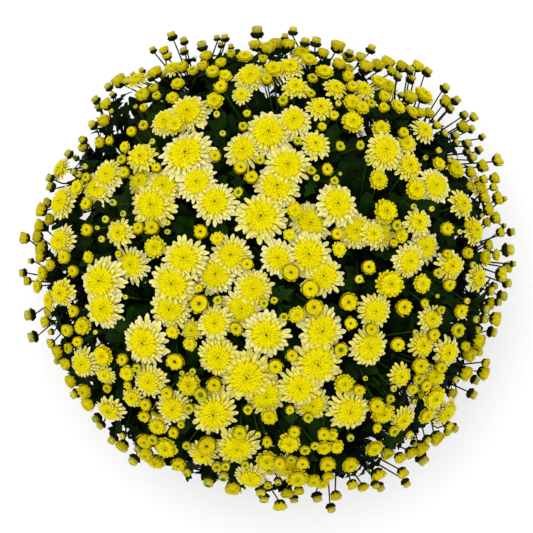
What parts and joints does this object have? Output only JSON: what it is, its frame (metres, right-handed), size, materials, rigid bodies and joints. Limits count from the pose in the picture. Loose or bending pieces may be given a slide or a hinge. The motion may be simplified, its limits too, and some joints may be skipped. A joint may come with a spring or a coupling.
{
  "type": "pot chrysanthemum",
  "caption": "Ball-shaped potted chrysanthemum in full flower: yellow double blooms, buttons and buds over dark lobed leaves, in a plain round pot.",
  "frame": {"origin": "centre of the pot's flat base, where the pot rests", "axes": "+Z up along the pot's axis; +Y is up in the picture, which looks straight down"},
  "size_m": [0.4801, 0.4808, 0.3664],
  "materials": {
    "petals": "matt yellow petals, pale cream tips round a deep yellow middle",
    "foliage": "dark green leaves, stalks and calyces, with yellow buds and buttons",
    "soil": "moist dark potting mix",
    "pot": "matt terracotta-coloured moulded plastic"
  },
  "bodies": {
    "root": {"pot": "pot", "soil": "soil", "spray_01": "foliage", "spray_02": "foliage", "spray_03": "foliage", "spray_04": "foliage", "spray_05": "foliage", "spray_06": "foliage", "spray_07": "foliage", "spray_08": "foliage", "spray_09": "foliage", "spray_10": "foliage", "spray_11": "foliage", "spray_12": "foliage", "spray_13": "foliage", "spray_14": "foliage", "spray_15": "foliage", "spray_16": "foliage", "spray_17": "foliage", "bloom_01": "petals", "bloom_02": "petals", "bloom_03": "petals", "bloom_04": "petals", "bloom_05": "petals", "bloom_06": "petals", "bloom_07": "petals", "bloom_08": "petals", "bloom_09": "petals", "bloom_10": "petals", "bloom_11": "petals", "bloom_12": "petals", "bloom_13": "petals", "bloom_14": "petals", "bloom_15": "petals", "bloom_16": "petals", "bloom_17": "petals", "bloom_18": "petals", "bloom_19": "petals", "bloom_20": "petals", "bloom_21": "petals", "bloom_22": "petals", "bloom_23": "petals", "bloom_24": "petals", "bloom_25": "petals", "bloom_26": "petals", "bloom_27": "petals", "bloom_28": "petals", "bloom_29": "petals", "bloom_30": "petals", "bloom_31": "petals", "bloom_32": "petals", "bloom_33": "petals", "bloom_34": "petals", "bloom_35": "petals", "bloom_36": "petals", "bloom_37": "petals", "bloom_38": "petals", "bloom_39": "petals", "bloom_40": "petals"}
  },
  "joints": []
}
